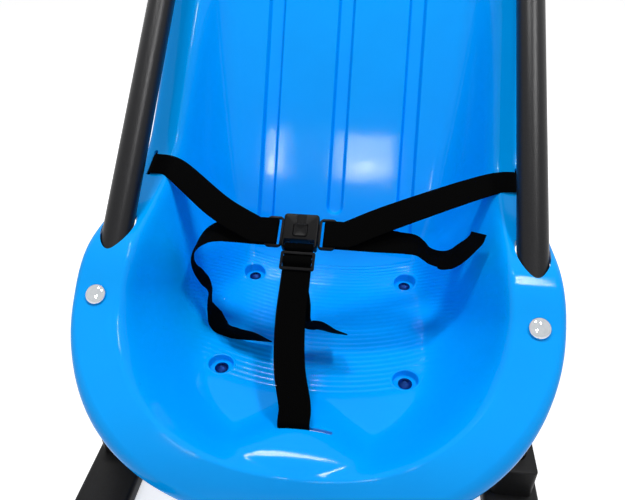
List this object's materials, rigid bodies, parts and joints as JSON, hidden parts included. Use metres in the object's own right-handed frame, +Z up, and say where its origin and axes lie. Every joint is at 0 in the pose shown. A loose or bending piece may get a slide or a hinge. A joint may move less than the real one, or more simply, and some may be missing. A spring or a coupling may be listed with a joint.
{
  "type": "baby sled with push bar",
  "caption": "Moulded bucket seat with a harness, carried on tube arches and skis, with a bent tube push bar behind it, for pushing a small child over snow.",
  "frame": {"origin": "on the ground, under the middle of the whole sled", "axes": "+Z up, -Y to the front where the skis turn up, +X to the right of someone who looks at the seat from the front, which is the left hand of a child sitting in it"},
  "size_m": [0.42, 1.0752, 0.7465],
  "materials": {
    "seat_plastic": "glossy moulded polypropylene, bright blue",
    "powder_coat": "satin black powder coat on steel tube",
    "foam": "matt black foam rubber",
    "chrome": "bright chrome plating",
    "zinc_steel": "zinc-plated steel",
    "black_plastic": "moulded black plastic with a fine grain",
    "webbing": "woven black polyester webbing"
  },
  "bodies": {
    "sled": {"seat_shell": "seat_plastic", "push_bar": "powder_coat", "arch_front": "powder_coat", "arch_rear": "powder_coat", "bar_grip": "foam", "rim_bolt_left": "chrome", "rim_bolt_right": "chrome", "rim_nut_left": "zinc_steel", "rim_nut_right": "zinc_steel", "ski_glide_left": "zinc_steel", "ski_glide_right": "zinc_steel", "glide_screw_front_left": "zinc_steel", "glide_screw_front_right": "zinc_steel", "glide_screw_rear_left": "zinc_steel", "glide_screw_rear_right": "zinc_steel", "pan_screw_front_left": "zinc_steel", "pan_nut_front_left": "zinc_steel", "socket_bolt_front_left": "zinc_steel", "socket_nut_front_left": "zinc_steel", "pan_screw_front_right": "zinc_steel", "pan_nut_front_right": "zinc_steel", "socket_bolt_front_right": "zinc_steel", "socket_nut_front_right": "zinc_steel", "pan_screw_rear_left": "zinc_steel", "pan_nut_rear_left": "zinc_steel", "socket_bolt_rear_left": "zinc_steel", "socket_nut_rear_left": "zinc_steel", "pan_screw_rear_right": "zinc_steel", "pan_nut_rear_right": "zinc_steel", "socket_bolt_rear_right": "zinc_steel", "socket_nut_rear_right": "zinc_steel", "bar_plug_left": "black_plastic", "bar_plug_right": "black_plastic", "ski_left": "black_plastic", "ski_right": "black_plastic", "buckle_housing": "black_plastic", "left_keeper": "black_plastic", "right_keeper": "black_plastic", "crotch_keeper": "black_plastic", "left_hip_strap": "webbing", "right_hip_strap": "webbing", "crotch_strap": "webbing", "crotch_strap_tail": "webbing"},
    "release_button": {"release_button": "black_plastic"},
    "left_tongue": {"left_tongue": "black_plastic"},
    "right_tongue": {"right_tongue": "black_plastic"},
    "strap_slide": {"strap_slide": "black_plastic"}
  },
  "joints": [
    {"name": "button_press", "type": "slide", "parent": "sled", "child": "release_button", "axis": [0, 0.4848, -0.8746], "range_m": [0, 0.0025], "stiffness_N_per_m": 200, "springref_m": -0.002},
    {"name": "left_tongue_pull", "type": "slide", "parent": "sled", "child": "left_tongue", "axis": [-1, 0, 0], "range_m": [0, 0.02], "deforming": ["left_hip_strap"]},
    {"name": "right_tongue_pull", "type": "slide", "parent": "sled", "child": "right_tongue", "axis": [1, 0, 0], "range_m": [0, 0.02], "deforming": ["right_hip_strap"]},
    {"name": "strap_slide_shift", "type": "slide", "parent": "sled", "child": "strap_slide", "axis": [0, -0.8746, -0.4848], "range_m": [0, 0.02], "deforming": ["crotch_strap", "crotch_strap_tail"]}
  ]
}
